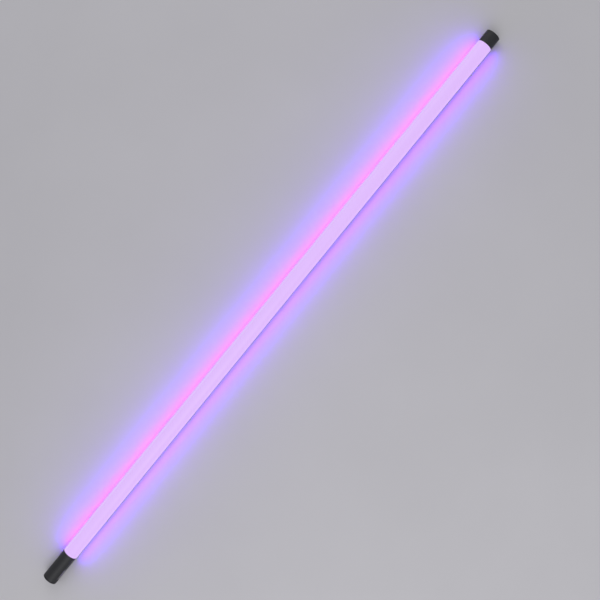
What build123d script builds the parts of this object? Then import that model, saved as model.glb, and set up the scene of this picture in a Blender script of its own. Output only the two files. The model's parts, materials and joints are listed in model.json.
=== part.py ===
from build123d import *
import math
import os

os.makedirs("parts", exist_ok=True)

# A battery-powered LED light tube of the two-metre class, lying on the flat foot of its
# aluminium back. X runs along the tube from the control end to the tail end, Z is the side
# that gives light, and the panel of buttons faces -Y. The origin is under the middle of the
# tube, on the surface that it lies on. Millimetres.

# Driving dimensions
TUBE_R = 22.0
WALL = 2.0
LIT_LENGTH = 1890.0
CONTROL_LENGTH = 96.0
TAIL_LENGTH = 37.0
GASKET = 1.5
AXIS_Z = 20.5
PLATE = 4.0
BULKHEAD = 3.0
CORNER = 0.3
GASKET_INSET = 0.2
GASKET_WINDOW_V = -4.2

# Stations along X
OVERALL = CONTROL_LENGTH + TAIL_LENGTH + 2 * GASKET + LIT_LENGTH
CONTROL_END = -OVERALL / 2
CONTROL_FACE = CONTROL_END + CONTROL_LENGTH
TUBE_START = CONTROL_FACE + GASKET
TUBE_END = TUBE_START + LIT_LENGTH
TAIL_FACE = TUBE_END + GASKET
TAIL_END = OVERALL / 2

# Cross-section of the tube, measured from its axis
INNER_R = TUBE_R - WALL
BAY_FLOOR = -AXIS_Z + WALL
DECK_BOTTOM = -8.5
DECK_TOP = -6.5
DIFFUSER_START = -20.0
LIP_R = 18.0
LIP_ANGLE = 4.6
GROOVE_R = 17.8
UPSTAND_R = 16.6
HOOK_R = 19.7
SHOULDER_ANGLE = DIFFUSER_START - 0.3
HOOK_START = -15.1
HOOK_ANGLE = 3.1
PORT_U = 12.6
PORT_V = -11.5
PORT_R = 3.2
FIN_ANGLES = [212, 218, 224, 230, 236]
FIN_WIDTH = 0.9
FIN_DEPTH = 0.6

# Light boards
TAPE = 0.3
TAPE_WIDTH = 27.0
BOARD = 1.6
BOARD_COUNT = 4
BOARD_GAP = 1.0
BOARD_MARGIN = 2.5
BOARD_WIDTH = 28.0
CHIP = 5.0
CHIP_HEIGHT = 1.6
CHIPS_PER_BOARD = 30
BOARD_LENGTH = (LIT_LENGTH - 2 * BOARD_MARGIN - (BOARD_COUNT - 1) * BOARD_GAP) / BOARD_COUNT
BOARD_TOP = DECK_TOP + TAPE + BOARD
BOARD_SCREW_U = 11.0
BOARD_SCREW_INSET = 20.0
BOARD_SCREW_R = 1.0
CONNECTOR_U = -8.0

# Battery
FOAM = 0.6
FOAM_WIDTH = 14.0
CELL_COUNT = 17
CELL_LENGTH = 100.0
CELL_WIDTH = 17.0
CELL_HEIGHT = 9.0
CELL_GAP = 4.0
LINK = 0.4
LINK_WIDTH = 6.0
LINK_V = -13.6
GUARD_BOARD_LENGTH = 60.0
GUARD_BOARD_START = TUBE_START + 4.5
CELL_START = GUARD_BOARD_START + GUARD_BOARD_LENGTH + 5.0
CELL_BOTTOM = BAY_FLOOR + FOAM

# Screws
FRAME_SCREW_R = 1.48
PLATE_SCREW_R = 1.25
PLATE_HEAD_R = 2.3
PLATE_HEAD = 1.5
FIT = 0.02
INSERT_R = 5.0
INSERT_BORE_R = 3.175
INSERT_LENGTH = 12.0
INSERT_FLANGE = 1.0
INSERT_FLANGE_R = 6.5
BOSS_RING = 17.0
LOW_BOSS_V = -15.5
BOSS_R = 3.3
BOSS_LENGTH = 8.0

# Control panel, on the -Y side
FACET_Y = 20.0
PANEL_X = CONTROL_END + 51.0
FACET_LENGTH = 78.0
BEZEL_LENGTH = 72.0
BEZEL_HEIGHT = 15.0
BEZEL = 1.2
PANEL_WALL_Y = 17.0
OPENING_LENGTH = 64.0
OPENING_HEIGHT = 12.6
DISPLAY_X = PANEL_X - 16.0
WINDOW_LENGTH = 26.0
WINDOW_HEIGHT = 9.0
BUTTON_X = [PANEL_X + 4.7 + 7.8 * i for i in range(4)]
BUTTON_NAMES = ["power_button", "menu_button", "up_button", "down_button"]
BUTTON_R = 2.7
BUTTON_GAP = 0.2
BUTTON_PROUD = 1.0
BUTTON_TRAVEL = 0.6
CONTROL_BOARD_LENGTH = 72.0
CONTROL_BOARD_HEIGHT = 16.0
CONTROL_BOARD_Y = 13.6
POST_X = 34.0

# Driver board, upright in the middle of the control cap
DRIVER_Y = 1.0
DRIVER_START = CONTROL_END + 23.0
DRIVER_LENGTH = 60.0
DRIVER_HALF = 16.5
RAIL = 1.3
RAIL_TIP = 13.5
LEAD_V = BOARD_TOP + 1.5
LEAD_WINDOW_U = -5.0
LEAD_WINDOW_WIDTH = 16.0
BATTERY_LEAD_V = -13.5
TERMINAL_END = CONTROL_FACE - 16.0

# Sockets and their flap, on the +Y side
DOOR_X = CONTROL_END + 53.0
DOOR_WALL_Y = 15.5
DOOR_FACET_LENGTH = 40.0
POCKET_LENGTH = 30.0
POCKET_Y = 17.7
POCKET_LOW = -6.8
POCKET_HIGH = 7.8
HINGE_Y = 18.35
HINGE_V = 5.6
BARREL_R = 1.6
BARREL_LENGTH = 18.0
LUG_LOW = HINGE_V - 1.3
FLAP_PIN_R = 0.75
FLAP_PIN_LENGTH = 28.0
FLAP = 1.8
CHARGE_X = DOOR_X - 6.5
DATA_X = DOOR_X + 7.0
SOCKET_V = -1.6

# Hanging bail, folded in the cup of the tail cap
CUP_DEPTH = 7.0
TAIL_PLATE_OUT = TAIL_END - CUP_DEPTH
BAIL_R = 16.4
BAIL_WIRE_R = 1.5
BAIL_BEND_R = 2.5
BAIL_X = TAIL_PLATE_OUT + 2.2
LUG_IN = 11.2
LUG_OUT = 13.4
LUG_R = 2.6
BAIL_PIN_END = 10.9


def across(x):
    """A plane square to the tube: u is +Y, v is +Z from the tube's axis, and it faces +X."""
    return Plane(origin=(x, 0, AXIS_Z), x_dir=(0, 1, 0), z_dir=(1, 0, 0))


def side(x, y):
    """A plane facing -Y, with its first axis along +X and its second along +Z."""
    return Plane(origin=(x, y, AXIS_Z), x_dir=(1, 0, 0), z_dir=(0, -1, 0))


def level(v):
    """A plane facing +Z at a height v above the tube's axis."""
    return Plane.XY.offset(AXIS_Z + v)


def polar(radius, angle):
    """A point of a sketch at a radius and an angle in degrees."""
    turn = math.radians(angle)
    return (radius * math.cos(turn), radius * math.sin(turn))


def ring_sector(inner, outer, start, span):
    """Adds a piece of a ring to the current sketch."""
    with BuildLine() as edge:
        CenterArc((0, 0), outer, start, span)
        CenterArc((0, 0), inner, start, span)
        Line(polar(inner, start), polar(outer, start))
        Line(polar(inner, start + span), polar(outer, start + span))
    make_face(edge.edges())


def outline(radius, floor):
    """Adds a disc cut flat below a height, the shape of the tube from its end."""
    Circle(radius)
    with Locations((0, floor - TUBE_R)):
        Rectangle(4 * TUBE_R, 2 * TUBE_R, mode=Mode.SUBTRACT)


def screw_bosses(points):
    """Adds round bosses to the current sketch, trimmed to stay inside the cap's wall."""
    outline(TUBE_R - 0.5, -AXIS_Z + 0.5)
    with BuildSketch() as discs:
        with Locations(points):
            Circle(BOSS_R)
    add(discs.sketch, mode=Mode.INTERSECT)


def block(x0, x1, y0, y1, v0, v1):
    """Adds a block to the current part, given by its limits; v is measured from the axis."""
    with BuildSketch(level(v0)) as base:
        with Locations(((x0 + x1) / 2, (y0 + y1) / 2)):
            Rectangle(x1 - x0, y1 - y0)
    extrude(base.sketch, amount=v1 - v0)


def cut_across(x0, x1, u, v, radius):
    """Bores a round hole along X in the current part."""
    with BuildSketch(across(x0)) as mouth:
        with Locations((u, v)):
            Circle(radius)
    extrude(mouth.sketch, amount=x1 - x0, mode=Mode.SUBTRACT)


def save(builder, name):
    """Labels a finished piece and writes it."""
    builder.part.label = name
    export_step(builder.part, f"parts/{name}.step")


PORTS = [(-PORT_U, PORT_V), (PORT_U, PORT_V)]
CONTROL_BOSSES = [polar(BOSS_RING, a) for a in (90, 210, 330)]
TAIL_BOSSES = [polar(BOSS_RING, 30), polar(BOSS_RING, 150), (0, LOW_BOSS_V)]
BOARD_STARTS = [
    TUBE_START + BOARD_MARGIN + i * (BOARD_LENGTH + BOARD_GAP) for i in range(BOARD_COUNT)
]
BOARD_SCREWS = [
    (x, u)
    for start in BOARD_STARTS
    for x in (start + BOARD_SCREW_INSET, start + BOARD_LENGTH - BOARD_SCREW_INSET)
    for u in (-BOARD_SCREW_U, BOARD_SCREW_U)
]


# ---- The tube ----

# Frosted cover: most of a circle, with a lip along each edge that the spine's grooves hold.
with BuildPart() as diffuser:
    with BuildSketch(across(TUBE_START)):
        ring_sector(INNER_R, TUBE_R, DIFFUSER_START, 180 - 2 * DIFFUSER_START)
        ring_sector(LIP_R, INNER_R, DIFFUSER_START, LIP_ANGLE)
        ring_sector(LIP_R, INNER_R, 180 - DIFFUSER_START - LIP_ANGLE, LIP_ANGLE)
    extrude(amount=LIT_LENGTH)
save(diffuser, "diffuser")

# Extruded back: outer wall with fine grooves, flat foot, deck, battery bay and screw ports.
with BuildPart() as spine:
    with BuildSketch(across(TUBE_START)):
        with BuildLine():
            CenterArc((0, 0), TUBE_R, 180 - SHOULDER_ANGLE, 180 + 2 * SHOULDER_ANGLE)
            Polyline(polar(TUBE_R, 180 - SHOULDER_ANGLE), (0, 0), polar(TUBE_R, SHOULDER_ANGLE))
        make_face()
        with Locations((0, -AXIS_Z - TUBE_R)):
            Rectangle(4 * TUBE_R, 2 * TUBE_R, mode=Mode.SUBTRACT)
        with BuildSketch(mode=Mode.SUBTRACT):
            Circle(UPSTAND_R)
            with Locations((0, DECK_TOP - TUBE_R)):
                Rectangle(4 * TUBE_R, 2 * TUBE_R, mode=Mode.SUBTRACT)
        with BuildSketch(mode=Mode.SUBTRACT):
            outline(INNER_R, BAY_FLOOR)
            with Locations((0, DECK_BOTTOM + TUBE_R)):
                Rectangle(4 * TUBE_R, 2 * TUBE_R, mode=Mode.SUBTRACT)
        with Locations(PORTS):
            Circle(PORT_R)
        with BuildSketch():
            ring_sector(UPSTAND_R, GROOVE_R, SHOULDER_ANGLE, HOOK_START + HOOK_ANGLE - SHOULDER_ANGLE)
            ring_sector(GROOVE_R, HOOK_R, HOOK_START, HOOK_ANGLE)
            mirror(about=Plane.YZ)
        with Locations(PORTS):
            Circle(FRAME_SCREW_R + FIT, mode=Mode.SUBTRACT)
        for angle in FIN_ANGLES + [540 - a for a in FIN_ANGLES]:
            with Locations(Location(polar(TUBE_R, angle), angle)):
                Rectangle(2 * FIN_DEPTH, FIN_WIDTH, mode=Mode.SUBTRACT)
    extrude(amount=LIT_LENGTH)
    with BuildSketch(level(DECK_BOTTOM)):
        with Locations(BOARD_SCREWS):
            Circle(BOARD_SCREW_R + FIT)
    extrude(amount=DECK_TOP - DECK_BOTTOM, mode=Mode.SUBTRACT)
save(spine, "spine")


def make_gasket(name, start):
    """The rubber sheet between the tube's end and a cap."""
    with BuildPart() as gasket:
        with BuildSketch(across(start)):
            outline(TUBE_R - GASKET_INSET, -AXIS_Z + GASKET_INSET)
            with BuildSketch(mode=Mode.SUBTRACT):
                Circle(LIP_R)
                with Locations((0, GASKET_WINDOW_V - TUBE_R)):
                    Rectangle(4 * TUBE_R, 2 * TUBE_R, mode=Mode.SUBTRACT)
            with Locations((0, BATTERY_LEAD_V)):
                Rectangle(CELL_WIDTH, 7, mode=Mode.SUBTRACT)
            with Locations(PORTS):
                Circle(FRAME_SCREW_R + 0.3, mode=Mode.SUBTRACT)
        extrude(amount=GASKET)
    save(gasket, name)


make_gasket("control_gasket", CONTROL_FACE)
make_gasket("tail_gasket", TUBE_END)


# ---- Light boards ----

with BuildPart() as thermal_tapes:
    for start in BOARD_STARTS:
        half = TAPE_WIDTH / 2
        block(start, start + BOARD_LENGTH, -half, half, DECK_TOP, DECK_TOP + TAPE)
    with BuildSketch(level(DECK_TOP)):
        with Locations(BOARD_SCREWS):
            Circle(BOARD_SCREW_R + 0.2)
    extrude(amount=TAPE, mode=Mode.SUBTRACT)
save(thermal_tapes, "thermal_tapes")

for index, start in enumerate(BOARD_STARTS, 1):
    with BuildPart() as led_board:
        half = BOARD_WIDTH / 2
        block(start, start + BOARD_LENGTH, -half, half, DECK_TOP + TAPE, BOARD_TOP)
        with BuildSketch(level(DECK_TOP + TAPE)):
            with Locations([s for s in BOARD_SCREWS if start < s[0] < start + BOARD_LENGTH]):
                Circle(BOARD_SCREW_R + 0.2)
        extrude(amount=BOARD, mode=Mode.SUBTRACT)
    save(led_board, f"led_board_{index}")

    with BuildPart() as led_chips:
        with BuildSketch(level(BOARD_TOP)):
            with Locations((start + BOARD_LENGTH / 2, 0)):
                with GridLocations(BOARD_LENGTH / CHIPS_PER_BOARD, CHIP, CHIPS_PER_BOARD, 1):
                    Rectangle(CHIP, CHIP)
        extrude(amount=CHIP_HEIGHT)
    save(led_chips, f"led_chips_{index}")

with BuildPart() as board_screws:
    with BuildSketch(level(DECK_BOTTOM + 0.2)):
        with Locations(BOARD_SCREWS):
            Circle(BOARD_SCREW_R)
    extrude(amount=BOARD_TOP - DECK_BOTTOM - 0.2)
    with BuildSketch(level(BOARD_TOP)):
        with Locations(BOARD_SCREWS):
            Circle(1.9)
    extrude(amount=0.9)
save(board_screws, "board_screws")

# One plug at the first board's end, and a link across each gap between boards.
PLUG_START = BOARD_STARTS[0] + 1.0
with BuildPart() as board_connectors:
    block(PLUG_START, PLUG_START + 8, CONNECTOR_U - 4, CONNECTOR_U + 4, BOARD_TOP, BOARD_TOP + 3)
    for start in BOARD_STARTS[1:]:
        middle = start - BOARD_GAP / 2
        block(middle - 7, middle + 7, CONNECTOR_U - 3, CONNECTOR_U + 3, BOARD_TOP, BOARD_TOP + 2.5)
save(board_connectors, "board_connectors")


# ---- Battery, in the bay under the deck ----

CELL_END = CELL_START + CELL_COUNT * CELL_LENGTH + (CELL_COUNT - 1) * CELL_GAP
CELL_STARTS = [CELL_START + i * (CELL_LENGTH + CELL_GAP) for i in range(CELL_COUNT)]

with BuildPart() as battery_foam:
    half = FOAM_WIDTH / 2
    block(GUARD_BOARD_START, CELL_END, -half, half, BAY_FLOOR, CELL_BOTTOM)
save(battery_foam, "battery_foam")

with BuildPart() as battery_cells:
    with BuildSketch(level(CELL_BOTTOM)):
        with Locations(((CELL_START + CELL_END) / 2, 0)):
            with GridLocations(CELL_LENGTH + CELL_GAP, CELL_WIDTH, CELL_COUNT, 1):
                Rectangle(CELL_LENGTH, CELL_WIDTH)
    extrude(amount=CELL_HEIGHT)
    fillet(battery_cells.edges().filter_by(Axis.Z), 1.2)
save(battery_cells, "battery_cells")

with BuildPart() as cell_links:
    half = LINK_WIDTH / 2
    for start in CELL_STARTS[1:]:
        block(start - CELL_GAP, start, -half, half, LINK_V, LINK_V + LINK)
    block(CELL_START - 5, CELL_START, -half, half, CELL_BOTTOM + 0.6, CELL_BOTTOM + 0.6 + LINK)
save(cell_links, "cell_links")

GUARD_TOP = CELL_BOTTOM + BOARD
with BuildPart() as battery_board:
    half = CELL_WIDTH / 2
    block(GUARD_BOARD_START, GUARD_BOARD_START + GUARD_BOARD_LENGTH, -half, half, CELL_BOTTOM, GUARD_TOP)
save(battery_board, "battery_board")

with BuildPart() as battery_board_parts:
    block(GUARD_BOARD_START, GUARD_BOARD_START + 7, -5.4, 0.6, GUARD_TOP, -11)
    for i in range(4):
        x = GUARD_BOARD_START + 14 + 9 * i
        block(x, x + 6, -5, 0, GUARD_TOP, GUARD_TOP + 1.1)
        block(x + 1, x + 5, 3, 6, GUARD_TOP, GUARD_TOP + 0.8)
save(battery_board_parts, "battery_board_parts")


def make_leads(name, start, end, points, radius):
    """Straight wires along X, which end face to face with their connectors."""
    with BuildPart() as leads:
        with BuildSketch(across(start)):
            with Locations(points):
                Circle(radius)
        extrude(amount=end - start)
    save(leads, name)


BATTERY_LEADS = [(-4.0, BATTERY_LEAD_V), (-1.2, BATTERY_LEAD_V)]
LED_LEADS = [(CONNECTOR_U - 2.7 + 1.8 * i, LEAD_V) for i in range(4)]
make_leads("battery_leads", TERMINAL_END, GUARD_BOARD_START, BATTERY_LEADS, 0.9)
make_leads("led_leads", TERMINAL_END, PLUG_START, LED_LEADS, 0.7)


# ---- Control cap ----

CAP_START = CONTROL_END + PLATE
SPIGOT = 1.5
BOSS_START = CAP_START + SPIGOT

with BuildPart() as control_cap:
    with BuildSketch(across(CAP_START)):
        outline(TUBE_R, -AXIS_Z)
    extrude(amount=CONTROL_FACE - CAP_START)
    with BuildSketch(across(CAP_START)):
        outline(INNER_R, BAY_FLOOR)
    extrude(amount=CONTROL_FACE - BULKHEAD - CAP_START, mode=Mode.SUBTRACT)

    # Thick walls behind the panel and behind the sockets
    with BuildSketch(across(PANEL_X - FACET_LENGTH / 2 - 1)):
        Circle(TUBE_R - 0.5)
        with Locations((TUBE_R - PANEL_WALL_Y, 0)):
            Rectangle(2 * TUBE_R, 4 * TUBE_R, mode=Mode.SUBTRACT)
    extrude(amount=FACET_LENGTH + 2)
    with BuildSketch(side(PANEL_X, -CONTROL_BOARD_Y)):
        with Locations((-POST_X, 0), (POST_X, 0)):
            Circle(1.8)
    extrude(amount=PANEL_WALL_Y - CONTROL_BOARD_Y + 1)
    with BuildSketch(across(DOOR_X - DOOR_FACET_LENGTH / 2 - 1)):
        Circle(TUBE_R - 0.5)
        with Locations((DOOR_WALL_Y - TUBE_R, 0)):
            Rectangle(2 * TUBE_R, 4 * TUBE_R, mode=Mode.SUBTRACT)
    extrude(amount=DOOR_FACET_LENGTH + 2)

    # Bosses for the end plate's screws, and rails for the driver board
    with BuildSketch(across(BOSS_START)):
        screw_bosses(CONTROL_BOSSES)
    extrude(amount=BOSS_LENGTH)
    with BuildSketch(across(DRIVER_START + 6)):
        outline(TUBE_R - 0.5, -AXIS_Z + 0.5)
        with BuildSketch(mode=Mode.INTERSECT):
            for y in (DRIVER_Y - 0.1 - RAIL / 2, DRIVER_Y + BOARD + 0.1 + RAIL / 2):
                with Locations((y, RAIL_TIP + 5), (y, -RAIL_TIP - 5)):
                    Rectangle(RAIL, 10)
    extrude(amount=DRIVER_LENGTH - 20)

    # Flat facets on both sides
    with BuildSketch(side(PANEL_X, -FACET_Y)):
        Rectangle(FACET_LENGTH, 2 * TUBE_R)
    extrude(amount=WALL + 1, mode=Mode.SUBTRACT)
    with BuildSketch(side(DOOR_X, FACET_Y)):
        Rectangle(DOOR_FACET_LENGTH, 2 * TUBE_R)
    extrude(amount=-WALL - 1, mode=Mode.SUBTRACT)

    # Panel: seat of the bezel, opening behind it, and posts of the control board
    with BuildSketch(side(PANEL_X, -FACET_Y)):
        RectangleRounded(BEZEL_LENGTH + 0.3, BEZEL_HEIGHT + 0.3, 2.15)
    extrude(amount=-BEZEL, mode=Mode.SUBTRACT)
    with BuildSketch(side(PANEL_X, -FACET_Y)):
        Rectangle(OPENING_LENGTH, OPENING_HEIGHT)
    extrude(amount=PANEL_WALL_Y - FACET_Y - 0.5, mode=Mode.SUBTRACT)
    with BuildSketch(side(PANEL_X, -CONTROL_BOARD_Y)):
        with Locations((-POST_X, 0), (POST_X, 0)):
            Circle(0.85)
    extrude(amount=4, mode=Mode.SUBTRACT)

    # Socket pocket: recess with a notch for a fingertip, and a slot for the flap's barrel
    with BuildSketch(side(DOOR_X, FACET_Y)):
        with Locations((0, (POCKET_LOW + LUG_LOW) / 2)):
            Rectangle(POCKET_LENGTH, LUG_LOW - POCKET_LOW)
        with Locations((0, POCKET_LOW)):
            Circle(4)
    extrude(amount=FACET_Y - POCKET_Y, mode=Mode.SUBTRACT)
    with BuildSketch(side(DOOR_X, FACET_Y + 0.5)):
        with Locations((0, (LUG_LOW - 1 + POCKET_HIGH) / 2)):
            Rectangle(BARREL_LENGTH + 0.4, POCKET_HIGH - LUG_LOW + 1)
    extrude(amount=FACET_Y - POCKET_Y + 0.5, mode=Mode.SUBTRACT)
    with BuildSketch(across(DOOR_X - BARREL_LENGTH / 2 - 0.2)):
        with Locations((HINGE_Y, HINGE_V)):
            Circle(BARREL_R + 0.35)
    extrude(amount=BARREL_LENGTH + 0.4, mode=Mode.SUBTRACT)
    cut_across(
        DOOR_X - FLAP_PIN_LENGTH / 2,
        DOOR_X + FLAP_PIN_LENGTH / 2,
        HINGE_Y,
        HINGE_V,
        FLAP_PIN_R + 0.01,
    )
    with BuildSketch(side(CHARGE_X, POCKET_Y)):
        with Locations((0, SOCKET_V)):
            Circle(4.1)
    extrude(amount=POCKET_Y - DOOR_WALL_Y + 1, mode=Mode.SUBTRACT)
    with BuildSketch(side(DATA_X, POCKET_Y)):
        with Locations((0, SOCKET_V)):
            RectangleRounded(9.3, 3.6, 1.7)
    extrude(amount=POCKET_Y - DOOR_WALL_Y + 1, mode=Mode.SUBTRACT)

    # Bulkhead: two windows for the leads and two screw holes
    with BuildSketch(across(CONTROL_FACE - BULKHEAD)):
        with Locations((LEAD_WINDOW_U, 0)):
            Rectangle(LEAD_WINDOW_WIDTH, 9)
        with Locations((0, BATTERY_LEAD_V)):
            Rectangle(14, 6)
        with Locations(PORTS):
            Circle(FRAME_SCREW_R + 0.1)
    extrude(amount=BULKHEAD, mode=Mode.SUBTRACT)
    for u, v in CONTROL_BOSSES:
        cut_across(BOSS_START, BOSS_START + BOSS_LENGTH, u, v, PLATE_SCREW_R + FIT)
save(control_cap, "control_cap")


def make_end_plate(outer_x, inward, profile_r, floor, bosses):
    """A cap's end plate, drawn from its outer face inwards, with a hub that holds the thread insert."""
    hub_length = INSERT_LENGTH - INSERT_FLANGE - PLATE
    with BuildSketch(across(outer_x)) as disc:
        outline(profile_r, floor)
    extrude(disc.sketch, amount=inward * PLATE)
    with BuildSketch(across(outer_x + inward * PLATE)) as hub:
        Circle(INSERT_R + 3)
    extrude(hub.sketch, amount=inward * hub_length)
    with BuildSketch(across(outer_x)) as seat:
        Circle(INSERT_R + 0.01)
    extrude(seat.sketch, amount=inward * INSERT_LENGTH, mode=Mode.SUBTRACT)
    with BuildSketch(across(outer_x)) as holes:
        with Locations(bosses):
            Circle(PLATE_SCREW_R + 0.15)
    extrude(holes.sketch, amount=inward * (PLATE + SPIGOT), mode=Mode.SUBTRACT)
    with BuildSketch(across(outer_x)) as heads:
        with Locations(bosses):
            Circle(PLATE_HEAD_R + 0.1)
    extrude(heads.sketch, amount=inward * PLATE_HEAD, mode=Mode.SUBTRACT)


with BuildPart() as control_end_plate:
    with BuildSketch(across(CAP_START)):
        outline(INNER_R - 0.15, BAY_FLOOR + 0.15)
        Circle(INSERT_R + 2, mode=Mode.SUBTRACT)
    extrude(amount=SPIGOT)
    make_end_plate(CONTROL_END, 1, TUBE_R, -AXIS_Z, CONTROL_BOSSES)
    rim = control_end_plate.faces().sort_by(Axis.X)[0].outer_wire().edges()
    chamfer(rim, 0.8)
save(control_end_plate, "control_end_plate")

with BuildPart() as tail_end_plate:
    make_end_plate(TAIL_PLATE_OUT, -1, INNER_R - 0.1, BAY_FLOOR + 0.1, TAIL_BOSSES)
    # Two lugs that the bail turns in
    for y0 in (LUG_IN, -LUG_OUT):
        with BuildSketch(side(BAIL_X, y0)):
            Circle(LUG_R)
            with Locations(((TAIL_PLATE_OUT - BAIL_X) / 2, 0)):
                Rectangle(BAIL_X - TAIL_PLATE_OUT, 2 * LUG_R)
            Circle(BAIL_WIRE_R + 0.05, mode=Mode.SUBTRACT)
            with Locations((TAIL_PLATE_OUT - BAIL_X - LUG_R, 0)):
                Rectangle(2 * LUG_R, 2 * LUG_R, mode=Mode.SUBTRACT)
        extrude(amount=-(LUG_OUT - LUG_IN))
save(tail_end_plate, "tail_end_plate")


def make_insert(name, outer_x, inward):
    """A round steel insert with the thread's bore, and a flange behind the hub so it can't pull out."""
    with BuildPart() as insert:
        with BuildSketch(across(outer_x)) as body:
            Circle(INSERT_R)
        extrude(body.sketch, amount=inward * INSERT_LENGTH)
        with BuildSketch(across(outer_x + inward * (INSERT_LENGTH - INSERT_FLANGE))) as flange:
            Circle(INSERT_FLANGE_R)
        extrude(flange.sketch, amount=inward * INSERT_FLANGE)
        with BuildSketch(across(outer_x)) as bore:
            Circle(INSERT_BORE_R)
        extrude(bore.sketch, amount=inward * INSERT_LENGTH, mode=Mode.SUBTRACT)
    save(insert, name)


make_insert("control_insert", CONTROL_END, 1)
make_insert("tail_insert", TAIL_PLATE_OUT, -1)


def make_screws(name, points, head_x, inward, radius, length, head_r, head):
    """Screws along X: a shank from the head's seat inwards, and a round head with a hex socket."""
    with BuildPart() as screws:
        with BuildSketch(across(head_x)):
            with Locations(points):
                Circle(radius)
        extrude(amount=inward * length)
        with BuildSketch(across(head_x)):
            with Locations(points):
                Circle(head_r)
        extrude(amount=-inward * head)
        with BuildSketch(across(head_x - inward * head)):
            with Locations(points):
                RegularPolygon(head_r * 0.5, 6)
        extrude(amount=inward * head * 0.6, mode=Mode.SUBTRACT)
    save(screws, name)


make_screws(
    "control_frame_screws", PORTS, CONTROL_FACE - BULKHEAD, 1, FRAME_SCREW_R, 14, 2.6, 2.2
)
make_screws("tail_frame_screws", PORTS, TAIL_FACE + BULKHEAD, -1, FRAME_SCREW_R, 14, 2.6, 2.2)
make_screws(
    "control_plate_screws",
    CONTROL_BOSSES,
    CONTROL_END + PLATE_HEAD,
    1,
    PLATE_SCREW_R,
    8,
    PLATE_HEAD_R,
    PLATE_HEAD - 0.1,
)
make_screws(
    "tail_plate_screws",
    TAIL_BOSSES,
    TAIL_PLATE_OUT - PLATE_HEAD,
    -1,
    PLATE_SCREW_R,
    8,
    PLATE_HEAD_R,
    PLATE_HEAD - 0.1,
)


# ---- Tail cap, with a cup that shelters the folded bail ----

TAIL_BOSS_END = TAIL_PLATE_OUT - PLATE
with BuildPart() as tail_cap:
    with BuildSketch(across(TAIL_FACE)):
        outline(TUBE_R, -AXIS_Z)
    extrude(amount=TAIL_LENGTH)
    rim = tail_cap.faces().sort_by(Axis.X)[-1].outer_wire().edges()
    chamfer(rim, 0.8)
    with BuildSketch(across(TAIL_FACE + BULKHEAD)):
        outline(INNER_R, BAY_FLOOR)
    extrude(amount=TAIL_LENGTH - BULKHEAD, mode=Mode.SUBTRACT)
    bulkhead = tail_cap.faces().sort_by(Axis.X)[1]
    chamfer(bulkhead.outer_wire().edges(), CORNER)
    with BuildSketch(across(TAIL_BOSS_END - BOSS_LENGTH)):
        screw_bosses(TAIL_BOSSES)
    extrude(amount=BOSS_LENGTH)
    for u, v in TAIL_BOSSES:
        cut_across(TAIL_BOSS_END - BOSS_LENGTH, TAIL_BOSS_END, u, v, PLATE_SCREW_R + FIT)
    for u, v in PORTS:
        cut_across(TAIL_FACE, TAIL_FACE + BULKHEAD, u, v, FRAME_SCREW_R + 0.1)
save(tail_cap, "tail_cap")

# The bail: a half ring of steel wire, hanging down, with its ends turned in through the lugs.
BEND_U = math.sqrt((BAIL_R - BAIL_BEND_R) ** 2 - BAIL_BEND_R**2)
BEND_ANGLE = math.degrees(math.atan2(BAIL_BEND_R, BEND_U))
with BuildPart() as hanging_bail:
    with BuildLine(Plane(origin=(BAIL_X, 0, AXIS_Z), x_dir=(0, 1, 0), z_dir=(-1, 0, 0))):
        Line((BAIL_PIN_END, 0), (BEND_U, 0))
        CenterArc((BEND_U, BAIL_BEND_R), BAIL_BEND_R, -90, 90 + BEND_ANGLE)
        CenterArc((0, 0), BAIL_R, BEND_ANGLE, 180 - 2 * BEND_ANGLE)
        CenterArc((-BEND_U, BAIL_BEND_R), BAIL_BEND_R, 180 - BEND_ANGLE, 90 + BEND_ANGLE)
        Line((-BEND_U, 0), (-BAIL_PIN_END, 0))
    with BuildSketch(Plane(origin=(BAIL_X, BAIL_PIN_END, AXIS_Z), z_dir=(0, 1, 0))):
        Circle(BAIL_WIRE_R)
    sweep()
save(hanging_bail, "hanging_bail")


# ---- Control panel ----

BEZEL_BACK = FACET_Y - BEZEL

with BuildPart() as panel_bezel:
    with BuildSketch(side(PANEL_X, -BEZEL_BACK)):
        RectangleRounded(BEZEL_LENGTH, BEZEL_HEIGHT, 2)
    extrude(amount=BEZEL)
    chamfer(panel_bezel.faces().sort_by(Axis.Y)[0].edges(), 0.25)
    with BuildSketch(side(0, -BEZEL_BACK)):
        with Locations((DISPLAY_X, 0)):
            RectangleRounded(WINDOW_LENGTH + 0.1, WINDOW_HEIGHT + 0.1, 0.8)
        with Locations([(x, 0) for x in BUTTON_X]):
            Circle(BUTTON_R + BUTTON_GAP)
    extrude(amount=BEZEL, mode=Mode.SUBTRACT)
save(panel_bezel, "panel_bezel")

with BuildPart() as display_window:
    with BuildSketch(side(DISPLAY_X, -BEZEL_BACK)):
        RectangleRounded(WINDOW_LENGTH, WINDOW_HEIGHT, 0.75)
    extrude(amount=BEZEL - 0.1)
save(display_window, "display_window")

with BuildPart() as display_module:
    with BuildSketch(side(DISPLAY_X, -BEZEL_BACK)):
        Rectangle(WINDOW_LENGTH + 4, WINDOW_HEIGHT + 3)
    extrude(amount=-1.8)
save(display_module, "display_module")

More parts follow.
